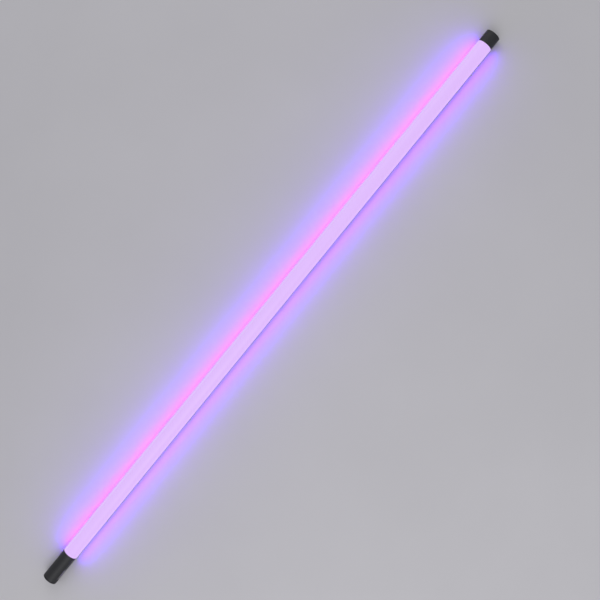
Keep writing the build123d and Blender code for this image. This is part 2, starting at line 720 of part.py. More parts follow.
FLANGE_FRONT = BEZEL_BACK - 0.05
FLANGE_BACK = FLANGE_FRONT - 0.8
STEM_END = PANEL_WALL_Y - 0.1
for name, x in zip(BUTTON_NAMES, BUTTON_X):
    with BuildPart() as button:
        with BuildSketch(side(x, -FLANGE_FRONT)):
            Circle(BUTTON_R)
        extrude(amount=FACET_Y + BUTTON_PROUD - FLANGE_FRONT)
        fillet(button.faces().sort_by(Axis.Y)[0].edges(), 0.4)
        with BuildSketch(side(x, -FLANGE_BACK)):
            Circle(BUTTON_R + 0.6)
        extrude(amount=FLANGE_FRONT - FLANGE_BACK)
        with BuildSketch(side(x, -STEM_END)):
            Circle(1.2)
        extrude(amount=FLANGE_BACK - STEM_END)
    save(button, name)

with BuildPart() as switches:
    with BuildSketch(side(0, -CONTROL_BOARD_Y)):
        with Locations([(x, 0) for x in BUTTON_X]):
            Rectangle(4.5, 4.5)
    extrude(amount=2)
    with BuildSketch(side(0, -CONTROL_BOARD_Y - 2)):
        with Locations([(x, 0) for x in BUTTON_X]):
            Circle(1)
    extrude(amount=STEM_END - BUTTON_TRAVEL - 0.05 - CONTROL_BOARD_Y - 2)
save(switches, "switches")

with BuildPart() as control_board:
    with BuildSketch(side(PANEL_X, -CONTROL_BOARD_Y)):
        Rectangle(CONTROL_BOARD_LENGTH, CONTROL_BOARD_HEIGHT)
        with Locations((-POST_X, 0), (POST_X, 0)):
            Circle(1, mode=Mode.SUBTRACT)
    extrude(amount=-BOARD)
save(control_board, "control_board")

CONTROL_BOARD_BACK = CONTROL_BOARD_Y - BOARD
with BuildPart() as control_board_screws:
    with BuildSketch(side(PANEL_X, -CONTROL_BOARD_BACK)):
        with Locations((-POST_X, 0), (POST_X, 0)):
            Circle(0.83)
    extrude(amount=BOARD + 3)
    with BuildSketch(side(PANEL_X, -CONTROL_BOARD_BACK)):
        with Locations((-POST_X, 0), (POST_X, 0)):
            Circle(1.5)
    extrude(amount=-1)
save(control_board_screws, "control_board_screws")

with BuildPart() as radio_module:
    with BuildSketch(side(PANEL_X + 8, -CONTROL_BOARD_BACK)):
        Rectangle(20, 13)
    extrude(amount=-0.8)
    with BuildSketch(side(PANEL_X + 5, -CONTROL_BOARD_BACK + 0.8)):
        Rectangle(12, 11)
    extrude(amount=-1.6)
save(radio_module, "radio_module")


# ---- Driver board and sockets ----

with BuildPart() as driver_board:
    block(
        DRIVER_START,
        DRIVER_START + DRIVER_LENGTH,
        DRIVER_Y,
        DRIVER_Y + BOARD,
        -DRIVER_HALF,
        DRIVER_HALF,
    )
save(driver_board, "driver_board")

with BuildPart() as driver_parts:
    block(TERMINAL_END - 8, TERMINAL_END, CONNECTOR_U - 3.4, DRIVER_Y, LEAD_V - 2, LEAD_V + 2)
    block(
        TERMINAL_END - 8,
        TERMINAL_END,
        -5.4,
        DRIVER_Y,
        BATTERY_LEAD_V + 2.4 - 4.6,
        BATTERY_LEAD_V + 2.4,
    )
    with BuildSketch(side(DRIVER_START, DRIVER_Y)):
        with Locations((12, 6)):
            RectangleRounded(12, 12, 2)
    extrude(amount=7)
    with BuildSketch(side(DRIVER_START, DRIVER_Y)):
        with Locations((26, 8), (36, 8)):
            Circle(4)
    extrude(amount=8)
    with BuildSketch(side(DRIVER_START, DRIVER_Y)):
        with Locations((10, -8), (19, -8), (28, -8), (37, -8)):
            Rectangle(6, 5)
        with Locations((22, -1), (33, -1)):
            Rectangle(7, 5)
    extrude(amount=1.4)
save(driver_parts, "driver_parts")

DRIVER_FRONT = DRIVER_Y + BOARD
MOUTH_Y = POCKET_Y - 0.1
with BuildPart() as charge_socket:
    with BuildSketch(side(CHARGE_X, DRIVER_FRONT)):
        with Locations((0, SOCKET_V)):
            Rectangle(10, 10)
    extrude(amount=DRIVER_FRONT - DOOR_WALL_Y + 1.5)
    with BuildSketch(side(CHARGE_X, DRIVER_FRONT)):
        with Locations((0, SOCKET_V)):
            Circle(4)
    extrude(amount=DRIVER_FRONT - MOUTH_Y)
    with BuildSketch(side(CHARGE_X, MOUTH_Y)):
        with Locations((0, SOCKET_V)):
            Circle(3.15)
            Circle(1, mode=Mode.SUBTRACT)
    extrude(amount=10, mode=Mode.SUBTRACT)
    with BuildSketch(side(CHARGE_X, MOUTH_Y)):
        with Locations((0, SOCKET_V)):
            Circle(1)
    extrude(amount=1.5, mode=Mode.SUBTRACT)
save(charge_socket, "charge_socket")

with BuildPart() as data_socket:
    with BuildSketch(side(DATA_X, DRIVER_FRONT)):
        with Locations((0, SOCKET_V)):
            RectangleRounded(9, 3.3, 1.55)
    extrude(amount=DRIVER_FRONT - MOUTH_Y)
    with BuildSketch(side(DATA_X, MOUTH_Y)):
        with Locations((0, SOCKET_V)):
            RectangleRounded(8.3, 2.6, 1.25)
            Rectangle(6.7, 0.7, mode=Mode.SUBTRACT)
    extrude(amount=6.5, mode=Mode.SUBTRACT)
save(data_socket, "data_socket")

# Flap: a plate with a barrel along its top edge and a sealing rim inside
FLAP_LOW = POCKET_LOW + 0.4
FLAP_NECK = HINGE_V - 2.2
with BuildPart() as port_flap:
    with BuildSketch(side(DOOR_X, FACET_Y)):
        with Locations((0, (FLAP_LOW + FLAP_NECK) / 2)):
            Rectangle(POCKET_LENGTH - 0.6, FLAP_NECK - FLAP_LOW)
        with Locations((0, (FLAP_NECK + HINGE_V) / 2)):
            Rectangle(BARREL_LENGTH, HINGE_V - FLAP_NECK)
    extrude(amount=FLAP)
    with BuildSketch(side(DOOR_X, FACET_Y - FLAP)):
        with Locations((0, SOCKET_V)):
            RectangleRounded(25, 9, 3)
            RectangleRounded(23.4, 7.4, 2.2, mode=Mode.SUBTRACT)
    extrude(amount=FACET_Y - FLAP - POCKET_Y - 0.1)
    with BuildSketch(across(DOOR_X - BARREL_LENGTH / 2)):
        with Locations((HINGE_Y, HINGE_V)):
            Circle(BARREL_R)
    extrude(amount=BARREL_LENGTH)
    cut_across(
        DOOR_X - BARREL_LENGTH / 2,
        DOOR_X + BARREL_LENGTH / 2,
        HINGE_Y,
        HINGE_V,
        FLAP_PIN_R + 0.06,
    )
save(port_flap, "port_flap")

with BuildPart() as flap_pin:
    with BuildSketch(across(DOOR_X - FLAP_PIN_LENGTH / 2)):
        with Locations((HINGE_Y, HINGE_V)):
            Circle(FLAP_PIN_R)
    extrude(amount=FLAP_PIN_LENGTH)
save(flap_pin, "flap_pin")
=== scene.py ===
"""The look of the LED light tube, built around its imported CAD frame, in the frame's own metres."""

import json
import math

import bpy
from mathutils import Matrix, Vector


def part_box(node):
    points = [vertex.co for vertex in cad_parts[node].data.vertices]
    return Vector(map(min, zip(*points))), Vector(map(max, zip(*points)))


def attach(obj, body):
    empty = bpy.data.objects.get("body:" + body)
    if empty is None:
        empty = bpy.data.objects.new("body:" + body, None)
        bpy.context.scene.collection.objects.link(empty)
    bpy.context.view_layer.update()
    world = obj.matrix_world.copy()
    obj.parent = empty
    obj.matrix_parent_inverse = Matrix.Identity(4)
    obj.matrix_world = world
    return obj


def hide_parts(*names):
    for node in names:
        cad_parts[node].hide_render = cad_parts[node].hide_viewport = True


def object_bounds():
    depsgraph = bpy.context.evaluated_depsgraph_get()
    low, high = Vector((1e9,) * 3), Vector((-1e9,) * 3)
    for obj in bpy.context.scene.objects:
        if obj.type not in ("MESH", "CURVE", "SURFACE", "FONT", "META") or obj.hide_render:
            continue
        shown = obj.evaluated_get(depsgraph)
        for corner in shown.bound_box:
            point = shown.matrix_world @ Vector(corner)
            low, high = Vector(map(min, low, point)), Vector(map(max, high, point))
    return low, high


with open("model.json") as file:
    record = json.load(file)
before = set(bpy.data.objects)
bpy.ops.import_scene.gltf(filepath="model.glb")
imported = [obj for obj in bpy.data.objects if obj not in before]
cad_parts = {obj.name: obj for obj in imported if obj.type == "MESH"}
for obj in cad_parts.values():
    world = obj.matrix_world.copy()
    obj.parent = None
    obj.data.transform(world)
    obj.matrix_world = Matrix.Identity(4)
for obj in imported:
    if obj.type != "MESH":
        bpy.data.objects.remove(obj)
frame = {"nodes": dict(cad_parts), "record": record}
CAD_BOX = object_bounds()

MM = 0.001
TUBE_BODY = "tube"

# The tube's section, measured from its axis: the same values as in the CAD source
TUBE_R = 22.0 * MM
INNER_R = 20.0 * MM
LIP_R = 18.0 * MM
LIP_ANGLE = 4.6
COVER_START = -20.0
GROOVE_R = 17.8 * MM
UPSTAND_R = 16.6 * MM
HOOK_R = 19.7 * MM
HOOK_START = -15.1
HOOK_ANGLE = 3.1
SHOULDER = -20.3
DECK_TOP = -6.5 * MM
DECK_BOTTOM = -8.5 * MM
BAY_FLOOR = -18.5 * MM
FOOT = -20.5 * MM
PORT = (12.6 * MM, -11.5 * MM)
PORT_R = 3.2 * MM
PORT_BORE = 1.5 * MM
FIN_ANGLES = (212, 218, 224, 230, 236)
FIN_WIDTH = 0.9 * MM
FIN_DEPTH = 0.6 * MM
AXIS_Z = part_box("spine")[0][2] - FOOT

# The thread in the end inserts, 1/4 inch with 20 turns to the inch
THREAD_R = 3.175 * MM
THREAD_PITCH = 1.27 * MM
THREAD_DEPTH = 0.61 * MM
THREAD_SUNK = 0.03 * MM
STEPS_PER_TURN = 32

# Marks on the keys, ribs on the flap
MARK_HEIGHT = 0.12 * MM
MARK_SUNK = 0.04 * MM
RIB_HEIGHT = 0.35 * MM
RIB_SUNK = 0.1 * MM
RIB_PITCH = 1.1 * MM

# Display: its layers, and the rows of what it shows, measured from its middle
GLASS_GAP = 0.15 * MM
SCREEN_DEPTH = 0.05 * MM
SCREEN_GAP = 0.01 * MM
TOP_ROW = 2.6 * MM
LEVEL_ROW = -0.3 * MM
SCALE_ROW = -2.9 * MM
ROW_START = -11.0 * MM
BATTERY_U = 9.6 * MM

# Light: its own colours, the long lamps for its spill, the studio and the floor
LAVENDER = (226, 189, 254)
VIOLET = (112, 6, 255)
COVER_GLOW = 0.93
SPILL_POWERS = ((-1, 1.2), (1, 2.6))
SPILL_OFFSET = 23.5 * MM
SPILL_HEIGHT = 20.0 * MM
SPILL_WIDTH = 12.0 * MM
SPILL_DROP = 0.35
KEY_POWER = 34.0
FILL_POWER = 16.0
SKY_COLOR = (0.86, 0.87, 0.9, 1)
SKY_STRENGTH = 0.5
FLOOR_REACH = 60.0
FLOOR_GAP = 0.2 * MM

# Camera: angles in degrees, distance in lengths of the lit part, aim in metres off its middle
CAMERA_LEAN = 39.23
CAMERA_SIDE_TILT = 12.0
CAMERA_END_TILT = 2.4
CAMERA_DISTANCE = 1.366
CAMERA_LENS = 53.8
CAMERA_SENSOR = 36.0
AIM_RIGHT = 0.066
AIM_ALONG = 0.0123

# A noise pattern's usual range, and the sockets of the colour mix node, whose names repeat
NOISE_LOW = 0.3
NOISE_HIGH = 0.7
MIX_FACTOR, MIX_FROM, MIX_TO, MIX_COLOR = 0, 6, 7, 2


# ---- Colours and material helpers ----


def linear(color):
    """An sRGB colour of 0 to 255 as linear light."""
    out = []
    for c in color:
        c = c / 255
        out.append(c / 12.92 if c <= 0.04045 else ((c + 0.055) / 1.055) ** 2.4)
    return (*out, 1.0)


class Finish:
    """A material under construction: its node tree, its shader, and short ways to add patterns."""

    def __init__(self, name, color, roughness, metallic=0.0):
        self.material = bpy.data.materials.new(name)
        self.material.use_nodes = True
        self.tree = self.material.node_tree
        self.shader = self.tree.nodes["Principled BSDF"]
        self.color = linear(color)
        self.roughness = roughness
        self.shader.inputs["Base Color"].default_value = self.color
        self.shader.inputs["Roughness"].default_value = roughness
        self.shader.inputs["Metallic"].default_value = metallic
        self.bump = None

    def node(self, kind, **values):
        """Adds a shader node with its settings."""
        n = self.tree.nodes.new(kind)
        for key, value in values.items():
            setattr(n, key, value)
        return n

    def link(self, a, b):
        self.tree.links.new(a, b)

    def noise(self, scale, stretch=(1, 1, 1), detail=4.0):
        """A noise pattern over the object's own coordinates, scale in waves per metre."""
        place = self.node("ShaderNodeTexCoord")
        mapping = self.node("ShaderNodeMapping")
        mapping.inputs["Scale"].default_value = stretch
        pattern = self.node("ShaderNodeTexNoise")
        pattern.inputs["Scale"].default_value = scale
        pattern.inputs["Detail"].default_value = detail
        self.link(place.outputs["Object"], mapping.inputs["Vector"])
        self.link(mapping.outputs["Vector"], pattern.inputs["Vector"])
        return pattern.outputs["Fac"]

    def spread(self, value, low, high, to_low, to_high):
        """Maps a value's range onto another."""
        m = self.node("ShaderNodeMapRange")
        m.inputs["From Min"].default_value = low
        m.inputs["From Max"].default_value = high
        m.inputs["To Min"].default_value = to_low
        m.inputs["To Max"].default_value = to_high
        self.link(value, m.inputs["Value"])
        return m.outputs["Result"]

    def vary_color(self, value, amount):
        """Lightens and darkens the base colour by a fraction, following a pattern."""
        ramp = self.node("ShaderNodeValToRGB")
        dark, pale = ramp.color_ramp.elements
        dark.position, pale.position = NOISE_LOW, NOISE_HIGH
        dark.color = [c * (1 - amount) for c in self.color[:3]] + [1]
        pale.color = [min(1, c * (1 + amount)) for c in self.color[:3]] + [1]
        self.link(value, ramp.inputs["Fac"])
        self.link(ramp.outputs["Color"], self.shader.inputs["Base Color"])
        return ramp.outputs["Color"]

    def vary_roughness(self, value, amount):
        """Makes the surface rougher and smoother by an amount, following a pattern."""
        low, high = self.roughness - amount, self.roughness + amount
        result = self.spread(value, NOISE_LOW, NOISE_HIGH, low, high)
        self.link(result, self.shader.inputs["Roughness"])

    def relief(self, value, height):
        """Adds a bump of a height in metres, on top of any bump already there."""
        bump = self.node("ShaderNodeBump")
        bump.inputs["Strength"].default_value = 1.0
        bump.inputs["Distance"].default_value = height
        self.link(value, bump.inputs["Height"])
        if self.bump:
            self.link(self.bump.outputs["Normal"], bump.inputs["Normal"])
        self.link(bump.outputs["Normal"], self.shader.inputs["Normal"])
        self.bump = bump

    def worn_edges(self, color, base_output, strength=0.6, radius=0.35 * MM):
        """Rounds the edges in the shading, and mixes in a lighter colour along them, in patches.

        The edges are where the rounded normal turns away from the real one.
        """
        shape = self.node("ShaderNodeNewGeometry")
        soft = self.node("ShaderNodeBevel", samples=6)
        soft.inputs["Radius"].default_value = radius
        match = self.node("ShaderNodeVectorMath", operation="DOT_PRODUCT")
        self.link(soft.outputs["Normal"], match.inputs[0])
        self.link(shape.outputs["Normal"], match.inputs[1])
        patches = self.spread(self.noise(180), 0.4, 0.65, 0.15, 1.0)
        turn = self.spread(match.outputs["Value"], 0.995, 0.9, 0.0, strength)
        edge = self.node("ShaderNodeMath", operation="MULTIPLY")
        self.link(patches, edge.inputs[0])
        self.link(turn, edge.inputs[1])
        self.bump = soft
        mix = self.node("ShaderNodeMix", data_type="RGBA")
        self.link(edge.outputs[0], mix.inputs[MIX_FACTOR])
        self.link(base_output, mix.inputs[MIX_FROM])
        mix.inputs[MIX_TO].default_value = linear(color)
        self.link(mix.outputs[MIX_COLOR], self.shader.inputs["Base Color"])

    def light(self, color, strength):
        """Makes the surface give off its own light."""
        self.shader.inputs["Emission Color"].default_value = linear(color)
        self.shader.inputs["Emission Strength"].default_value = strength


# ---- Materials ----


def frosted_cover():
    """Frosted plastic lit from inside: dark of its own, so that the lit colour comes out right."""
    f = Finish("frosted_cover", (56, 44, 74), 0.42)
    f.vary_color(f.noise(9, detail=2.0), 0.06)
    f.vary_roughness(f.noise(60, (0.2, 1, 1)), 0.05)
    f.relief(f.noise(2500, detail=2.0), 0.004 * MM)
    f.relief(f.noise(140, (0.02, 1, 1), 2.0), 0.02 * MM)
    f.light(LAVENDER, COVER_GLOW)
    return f.material


def anodised(name, color, lengthwise):
    """Dark anodised aluminium, with extrusion lines along the tube or turning marks."""
    f = Finish(name, color, 0.38, 0.85)
    fine = (0.01, 1, 1) if lengthwise else (1, 1, 1)
    base = f.vary_color(f.noise(40, fine), 0.12)
    f.worn_edges((120, 120, 124), base, 0.5)
    f.vary_roughness(f.noise(700, fine), 0.08)
    f.relief(f.noise(1500, fine, 2.0), 0.01 * MM)
    return f.material


def moulded(name, color, roughness, grain, worn=(74, 74, 78)):
    """Moulded plastic or rubber with a fine spark-eroded grain."""
    f = Finish(name, color, roughness)
    base = f.vary_color(f.noise(70), 0.09)
    f.worn_edges(worn, base, 0.45)
    f.vary_roughness(f.noise(260), 0.035)
    f.relief(f.noise(grain, detail=3.0), 0.025 * MM)
    return f.material


def brushed(name, color, stretch, roughness=0.26):
    """Bright or blackened steel with fine drawn lines."""
    f = Finish(name, color, roughness, 1.0)
    base = f.vary_color(f.noise(90), 0.08)
    f.worn_edges((225, 225, 228), base, 0.4)
    f.vary_roughness(f.noise(900, stretch), 0.09)
    f.relief(f.noise(2600, stretch, 2.0), 0.006 * MM)
    return f.material


def board(name, color):
    """A circuit board under solder mask, with faint copper traces below it."""
    f = Finish(name, color, 0.35)
    f.vary_color(f.noise(420, (0.3, 1, 1), 1.0), 0.1)
    f.vary_roughness(f.noise(300), 0.05)
    f.relief(f.noise(500, (0.3, 1, 1), 1.0), 0.02 * MM)
    return f.material


def smoked_glass():
    """Clear acrylic with a grey tint, for the display's window."""
    f = Finish("smoked_glass", (150, 152, 160), 0.06)
    f.shader.inputs["Transmission Weight"].default_value = 1.0
    f.shader.inputs["IOR"].default_value = 1.49
    f.vary_roughness(f.noise(120), 0.02)
    return f.material


def lit_dies(name, color, strength):
    """Small things that give light: LED packages and the screen's marks; also the print on the keys,
    which is no lamp, so its faint glow is painted light.
    """
    f = Finish(name, (90, 90, 96), 0.25)
    f.vary_color(f.noise(900), 0.1)
    f.light(color, strength)
    return f.material


def pale_floor():
    """The studio floor, nearly plain."""
    f = Finish("pale_floor", (206, 204, 208), 0.62)
    f.vary_color(f.noise(2.2), 0.02)
    f.vary_roughness(f.noise(8), 0.04)
    return f.material


MATERIALS = {
    "frosted_cover": frosted_cover(),
    "anodised_spine": anodised("anodised_spine", (58, 58, 62), True),
    "cap_plastic": moulded("cap_plastic", (34, 34, 37), 0.52, 1900),
    "end_plates": anodised("end_plates", (44, 44, 48), False),
    "gaskets": moulded("gaskets", (20, 20, 21), 0.7, 1200, (40, 40, 42)),
    "steel": brushed("steel", (176, 177, 180), (0.1, 1, 1)),
    "screws": brushed("screws", (38, 38, 42), (1, 0.2, 1), 0.34),
    "white_board": board("white_board", (236, 236, 240)),
    "led_chips": lit_dies("led_chips", LAVENDER, 1.0),
    "green_board": board("green_board", (18, 74, 44)),
    "components": moulded("components", (30, 30, 33), 0.45, 900),
    "connectors": moulded("connectors", (224, 216, 196), 0.45, 900, (236, 232, 222)),
    "cells": moulded("cells", (150, 155, 166), 0.3, 400, (190, 190, 196)),
    "nickel": brushed("nickel", (196, 190, 178), (0.1, 1, 1)),
    "foam": moulded("foam", (44, 44, 46), 0.9, 900),
    "thermal_tape": moulded("thermal_tape", (150, 155, 162), 0.8, 700, (170, 174, 180)),
    "wires": moulded("wires", (170, 24, 22), 0.5, 500, (190, 60, 56)),
    "bezel": moulded("bezel", (20, 20, 23), 0.3, 2600),
    "window": smoked_glass(),
    "display": moulded("display", (14, 14, 18), 0.22, 600, (24, 24, 28)),
    "buttons": moulded("buttons", (62, 62, 67), 0.6, 1800, (100, 100, 106)),
    "flap": moulded("flap", (30, 30, 33), 0.66, 1500, (60, 60, 64)),
    "shield": brushed("shield", (190, 190, 192), (1, 1, 0.1)),
}
# Key print: near-white marks given a faint painted glow, though the print itself is no lamp.
PAINTED_GLOW_KEY_PRINT = lit_dies("key_print_painted_glow", (222, 222, 230), 0.25)
SCREEN_WHITE = lit_dies("screen_white", (214, 222, 255), 1.6)
SCREEN_VIOLET = lit_dies("screen_violet", (176, 96, 255), 1.8)

for part in frame["record"]["subparts"]:
    node = frame["nodes"][part["node"]]
    node.data.materials.clear()
    node.data.materials.append(MATERIALS[part["material_slot"]])


# ---- Flat outlines, drawn as curves and given thickness ----

# Turns from an outline's own plane to across the tube, its panel's side and its flap's side
ALONG_TUBE = Matrix(((0, 0, 1, 0), (1, 0, 0, 0), (0, 1, 0, 0), (0, 0, 0, 1)))
ON_SIDE = Matrix(((1, 0, 0, 0), (0, 0, -1, 0), (0, 1, 0, 0), (0, 0, 0, 1)))
ON_FAR_SIDE = Matrix(((-1, 0, 0, 0), (0, 0, 1, 0), (0, 1, 0, 0), (0, 0, 0, 1)))


def arc(radius, start, end, step=3.0, center=(0, 0)):
    """Points of an arc from one angle to another, in degrees."""
    count = max(2, int(math.ceil(abs(end - start) / step)) + 1)
    points = []
    for i in range(count):
        turn = math.radians(start + (end - start) * i / (count - 1))
        points.append((center[0] + radius * math.cos(turn), center[1] + radius * math.sin(turn)))
    return points


def slab(name, outlines, thickness, turn, place, material, body, edge=0.0):
    """A flat shape with holes, given thickness: its outlines lie in the turned plane."""
    curve = bpy.data.curves.new(name, "CURVE")
    curve.dimensions = "2D"
    curve.fill_mode = "BOTH"
    curve.extrude = thickness / 2 - edge
    curve.bevel_depth = edge
    curve.bevel_resolution = 2
    curve.offset = -edge
    for outline in outlines:
        spline = curve.splines.new("POLY")
        spline.points.add(len(outline) - 1)
        for point, (u, v) in zip(spline.points, outline):
            point.co = (u, v, 0, 1)
        spline.use_cyclic_u = True
    holder = bpy.data.objects.new(name + "_outline", curve)
    bpy.context.scene.collection.objects.link(holder)
    mesh = bpy.data.meshes.new_from_object(holder)
    bpy.data.objects.remove(holder)
    bpy.data.curves.remove(curve)
    mesh.transform(Matrix.Translation(place) @ turn)
    return finished(name, mesh, material, body)


def finished(name, mesh, material, body):
    """Puts a mesh in the scene as a piece that rides on a body."""
    mesh.name = name
    mesh.materials.clear()
    mesh.materials.append(material)
    for polygon in mesh.polygons:
        polygon.use_smooth = True
    mesh.set_sharp_from_angle(angle=math.radians(35))
    piece = bpy.data.objects.new(name, mesh)
    bpy.context.scene.collection.objects.link(piece)
    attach(piece, body)
    return piece


def mirrored(points):
    """The same points on the other side of the axis, in reverse order."""
    return [(-u, v) for u, v in reversed(points)]


# ---- The tube: frosted cover and aluminium back ----


def cover_outline():
    """Most of a ring, with a lip turned in along each edge."""
    far = 180 - COVER_START
    right_lip = arc(LIP_R, COVER_START, COVER_START + LIP_ANGLE, 1.5)
    left_lip = arc(LIP_R, far - LIP_ANGLE, far, 1.5)
    inner = arc(INNER_R, COVER_START + LIP_ANGLE, far - LIP_ANGLE, 2.0)
    return arc(TUBE_R, far, COVER_START, 2.0) + right_lip + inner + left_lip


def spine_outline():
    """Right half of the extrusion from the foot up to the deck, then its mirror."""
    foot_angle = math.degrees(math.asin(FOOT / TUBE_R))
    fins = sorted(180 - a for a in FIN_ANGLES)
    wall = []
    angle = foot_angle
    half = math.degrees(FIN_WIDTH / 2 / TUBE_R)
    for fin in fins:
        wall += arc(TUBE_R, angle, fin - half, 2.0)
        wall += arc(TUBE_R - FIN_DEPTH, fin - half, fin + half, 2.0)
        angle = fin + half
    wall += arc(TUBE_R, angle, SHOULDER, 2.0)
    groove = arc(GROOVE_R, SHOULDER, HOOK_START, 2.0)
    hook = arc(HOOK_R, HOOK_START, HOOK_START + HOOK_ANGLE, 1.5)
    deck_angle = math.degrees(math.asin(DECK_TOP / UPSTAND_R))
    upstand = arc(UPSTAND_R, HOOK_START + HOOK_ANGLE, deck_angle, 2.0)
    right = wall + groove + hook + upstand
    return right + mirrored(right)


def hollow_outlines():
    """Battery bay under the deck, and the channel outside each screw port."""
    reach = math.hypot(*PORT)
    lean = math.degrees(math.atan2(PORT[1], PORT[0]))
    port_at_deck = math.degrees(math.asin((DECK_BOTTOM - PORT[1]) / PORT_R))
    from_port = (INNER_R**2 - reach**2 - PORT_R**2) / (2 * reach * PORT_R)
    from_axis = (INNER_R**2 + reach**2 - PORT_R**2) / (2 * reach * INNER_R)
    port_at_wall = math.degrees(math.acos(from_port))
    wall_at_port = math.degrees(math.acos(from_axis))
    wall_at_floor = math.degrees(math.asin(BAY_FLOOR / INNER_R))
    wall_at_deck = math.degrees(math.asin(DECK_BOTTOM / INNER_R))

    bay = arc(INNER_R, wall_at_floor, lean - wall_at_port, 2.0)
    bay += arc(PORT_R, lean - port_at_wall, -180 - port_at_deck, 8.0, PORT)
    channel = arc(INNER_R, wall_at_deck, lean + wall_at_port, 2.0)
    channel += arc(PORT_R, lean + port_at_wall, port_at_deck, 8.0, PORT)
    return [bay + mirrored(bay), channel, mirrored(channel)]


def port_outline(side):
    """The bore of the screw port on one side."""
    return arc(PORT_BORE, 0, 345, 15.0, (side * PORT[0], PORT[1]))


def tube_pieces():
    """The cover and the back, as slabs as long as the lit part."""
    low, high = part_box("diffuser")
    length = high[0] - low[0]
    middle = ((low[0] + high[0]) / 2, 0, AXIS_Z)
    cover = slab("lit_cover", [cover_outline()], length, ALONG_TUBE, middle,
                 MATERIALS["frosted_cover"], TUBE_BODY, 0.25 * MM)
    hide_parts("diffuser")
    outlines = [spine_outline(), *hollow_outlines(), port_outline(1), port_outline(-1)]
    back = slab("extruded_back", outlines, length, ALONG_TUBE, middle,
                MATERIALS["anodised_spine"], TUBE_BODY, 0.0)
    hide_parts("spine")


# ---- Panel: display glass, what it shows, and the marks on the buttons ----


def rounded(width, height, radius):
    """A rectangle with round corners, centred on the origin."""
    w, h = width / 2 - radius, height / 2 - radius
    corners = ((w, -h, -90), (w, h, 0), (-w, h, 90), (-w, -h, 180))
    return [p for u, v, a in corners for p in arc(radius, a, a + 90, 15.0, (u, v))]


def moved(points, u, v):
    """The same points, shifted."""
    return [(p[0] + u, p[1] + v) for p in points]


def bar(u, v, width, height):
    """A small bar with slightly rounded corners, centred on a point."""
    return moved(rounded(width, height, min(width, height) * 0.25), u, v)


def display_pieces():
    """The window's glass, and behind it a battery sign, signal bars, a level, swatches, a scale."""
    low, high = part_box("display_window")
    middle = [(a + b) / 2 for a, b in zip(low, high)]
    back, front = high[1], low[1]
    glass_back = back - GLASS_GAP
    thickness = glass_back - front
    pane = rounded(high[0] - low[0], high[2] - low[2], 0.75 * MM)
    glass = slab("window_glass", [pane], thickness,
                 ON_SIDE, (middle[0], glass_back - thickness / 2, middle[2]),
                 MATERIALS["window"], TUBE_BODY, 0.12 * MM)
    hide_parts("display_window")

    spot = (middle[0], back - SCREEN_DEPTH / 2 - SCREEN_GAP, middle[2])
    battery = [
        moved(rounded(3.6 * MM, 1.9 * MM, 0.3 * MM), BATTERY_U, TOP_ROW),
        moved(rounded(3.0 * MM, 1.3 * MM, 0.2 * MM), BATTERY_U, TOP_ROW),
        bar(BATTERY_U + 2.1 * MM, TOP_ROW, 0.4 * MM, 0.9 * MM),
        bar(BATTERY_U - 0.4 * MM, TOP_ROW, 1.9 * MM, 0.8 * MM),
    ]
    signal = [
        bar(ROW_START + 0.9 * MM * i, (1.9 + 0.25 * i) * MM, 0.5 * MM, (0.6 + 0.5 * i) * MM)
        for i in range(4)
    ]
    scale = [bar(ROW_START + 1.15 * MM * i, SCALE_ROW, 0.75 * MM, 1.0 * MM) for i in range(20)]
    slab("screen_marks", battery + signal + scale, SCREEN_DEPTH, ON_SIDE, spot,
         SCREEN_WHITE, TUBE_BODY)
    level = moved(rounded(17 * MM, 2.0 * MM, 0.6 * MM), -3.0 * MM, LEVEL_ROW)
    swatches = [bar((7.6 + 1.9 * i) * MM, LEVEL_ROW, 1.4 * MM, 2.0 * MM) for i in range(3)]
    slab("screen_level", [level, *swatches], SCREEN_DEPTH, ON_SIDE, spot,
         SCREEN_VIOLET, TUBE_BODY)


def ring_piece(outer, inner, start, end):
    """Part of a flat ring."""
    return arc(outer, start, end, 8.0) + arc(inner, end, start, 8.0)


def button_marks():
    """Raised, unlettered marks: on and off, list, up and down."""
    marks = {
        "power_button": [
            ring_piece(1.35 * MM, 1.05 * MM, 125, 415),
            bar(0, 1.05 * MM, 0.3 * MM, 1.1 * MM),
        ],
        "menu_button": [bar(0, v * MM, 2.1 * MM, 0.34 * MM) for v in (-0.75, 0, 0.75)],
        "up_button": [[(-1.1 * MM, -0.7 * MM), (1.1 * MM, -0.7 * MM), (0, 0.95 * MM)]],
        "down_button": [[(-1.1 * MM, 0.7 * MM), (0, -0.95 * MM), (1.1 * MM, 0.7 * MM)]],
    }
    for name, outlines in marks.items():
        low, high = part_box(name)
        depth = low[1] - MARK_HEIGHT / 2 + MARK_SUNK
        place = ((low[0] + high[0]) / 2, depth, (low[2] + high[2]) / 2)
        # The marks carry the key print's faint painted glow.
        slab(name + "_mark", outlines, MARK_HEIGHT, ON_SIDE, place,
             PAINTED_GLOW_KEY_PRINT, name, 0.03 * MM)


# ---- Threads, flap ribs ----


